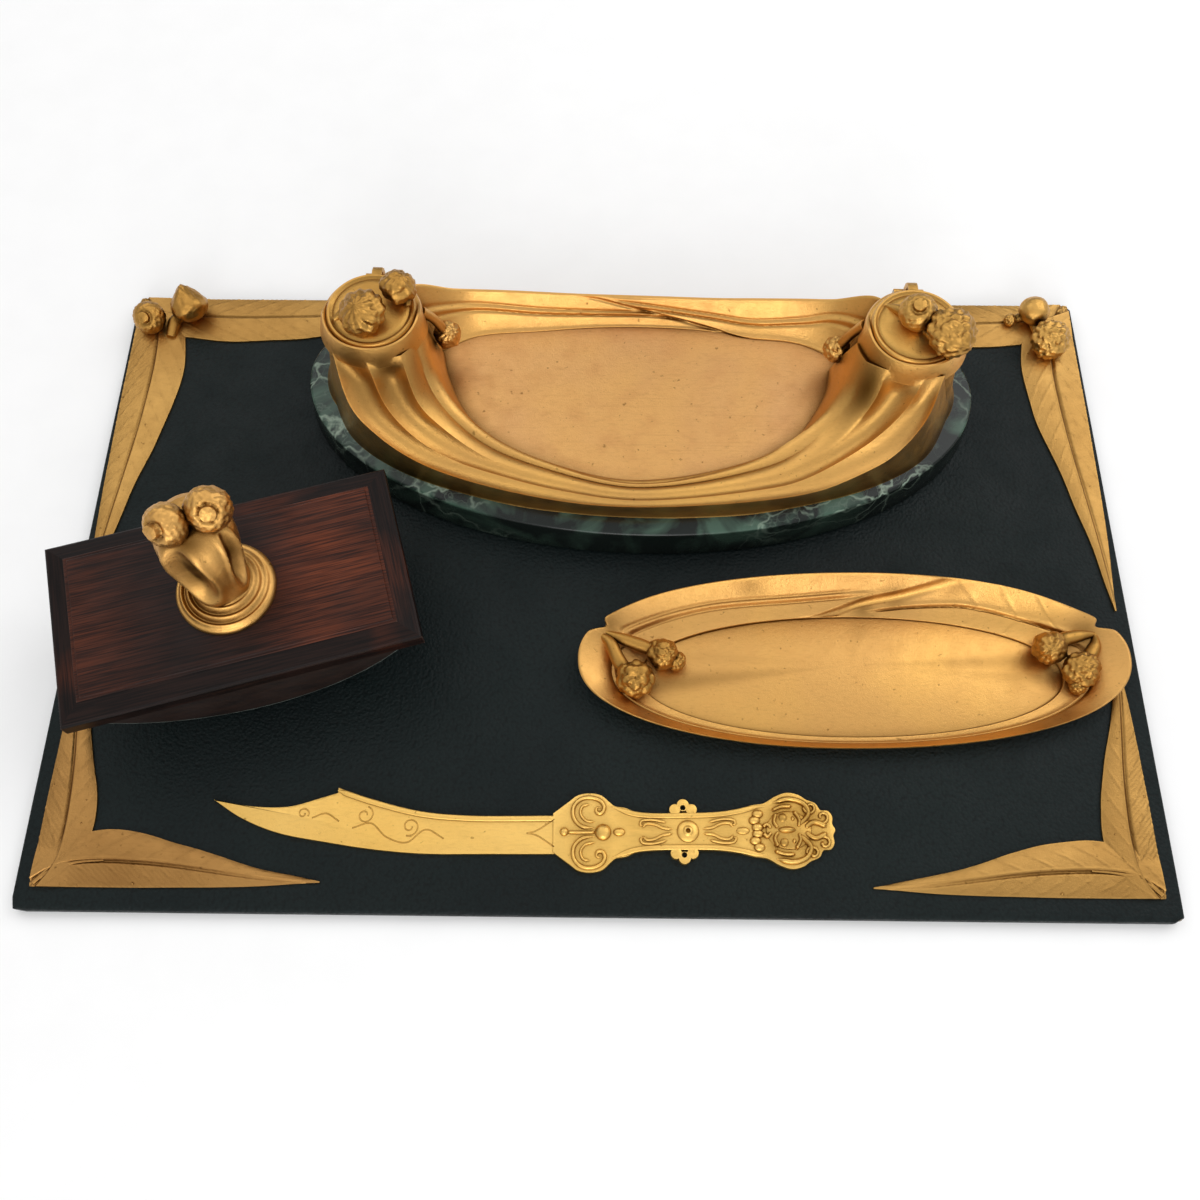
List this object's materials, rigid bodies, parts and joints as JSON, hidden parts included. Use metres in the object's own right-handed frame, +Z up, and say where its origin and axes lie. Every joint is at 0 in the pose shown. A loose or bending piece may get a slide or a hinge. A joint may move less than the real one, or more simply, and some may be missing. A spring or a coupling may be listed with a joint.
{
  "type": "desk set",
  "caption": "Desk set on a leather pad with leaf corner mounts: marble inkstand with hinged lids, rocker blotter with screw knob, oval pen tray and letter opener.",
  "frame": {"origin": "centre of the pad's underside, on the desk", "axes": "+X along the pad's long side to the writer's right, +Y away from the writer, +Z up"},
  "size_m": [0.5, 0.32, 0.109],
  "materials": {
    "board": "pressed board",
    "leather": "fine pebble grain, satin",
    "lining": "matt lining cloth",
    "gilt_bronze": "gilt bronze, satin with dark patina in the hollows",
    "gilt_brass": "bright gilt",
    "brass_plain": "plain",
    "steel": "plain",
    "marble": "polished, pale veins",
    "felt": "felt",
    "pot_glass": "pressed glass",
    "rosewood": "french polish",
    "rocker_wood": "oiled",
    "blotting_paper": "soft unsized paper, dark green"
  },
  "bodies": {
    "pad": {"pad_board": "board", "pad_leather": "leather", "pad_lining": "lining", "corner_rivets": "brass_plain", "corner_front_left": "gilt_bronze", "corner_front_right": "gilt_bronze", "corner_rear_left": "gilt_bronze", "corner_rear_right": "gilt_bronze", "corner_buds_rear_left": "gilt_bronze", "corner_buds_rear_right": "gilt_bronze"},
    "inkstand": {"marble_base": "marble", "base_felt": "felt", "base_screws": "steel", "base_washers": "steel", "inkstand_body": "gilt_bronze", "ink_pot_left": "pot_glass", "ink_pot_right": "pot_glass", "hinge_pin_left": "steel", "hinge_pin_right": "steel"},
    "left_lid": {"lid_left": "gilt_bronze", "lid_buds_left": "gilt_bronze"},
    "right_lid": {"lid_right": "gilt_bronze", "lid_buds_right": "gilt_bronze"},
    "rocker": {"rocker_base": "rocker_wood", "blotting_paper": "blotting_paper", "knob_insert": "brass_plain"},
    "rocker_board": {"rocker_top": "rosewood"},
    "rocker_knob": {"knob": "gilt_bronze", "knob_stud": "steel"},
    "tray": {"pen_tray": "gilt_bronze", "tray_buds_left": "gilt_bronze", "tray_buds_right": "gilt_bronze"},
    "opener": {"letter_opener": "gilt_brass"}
  },
  "joints": [
    {"name": "inkstand_lift", "type": "slide", "parent": "pad", "child": "inkstand", "axis": [0, 0, 1], "range_m": [0, 0.03]},
    {"name": "left_lid_hinge", "type": "hinge", "parent": "inkstand", "child": "left_lid", "pos_m": [-0.10558, 0.12626, 0.0648], "axis": [-0.9997, 0.0262, 0], "range_deg": [0, 100]},
    {"name": "right_lid_hinge", "type": "hinge", "parent": "inkstand", "child": "right_lid", "pos_m": [0.14434, 0.11972, 0.0648], "axis": [-0.9997, 0.0262, 0], "range_deg": [0, 100]},
    {"name": "rocker_rock", "type": "hinge", "parent": "pad", "child": "rocker", "pos_m": [-0.1597, -0.0313, 0.0946], "axis": [-0.2773, 0.9608, 0], "range_deg": [-12, 12]},
    {"name": "board_release", "type": "slide", "parent": "rocker", "child": "rocker_board", "axis": [0, 0, 1], "range_m": [0, 0.02]},
    {"name": "knob_turn", "type": "hinge", "parent": "rocker_board", "child": "rocker_knob", "pos_m": [-0.1597, -0.0313, 0.0548], "axis": [0, 0, 1], "continuous": true},
    {"name": "tray_lift", "type": "slide", "parent": "pad", "child": "tray", "axis": [0, 0, 1], "range_m": [0, 0.03]},
    {"name": "opener_lift", "type": "slide", "parent": "pad", "child": "opener", "axis": [0, 0, 1], "range_m": [0, 0.03]}
  ]
}
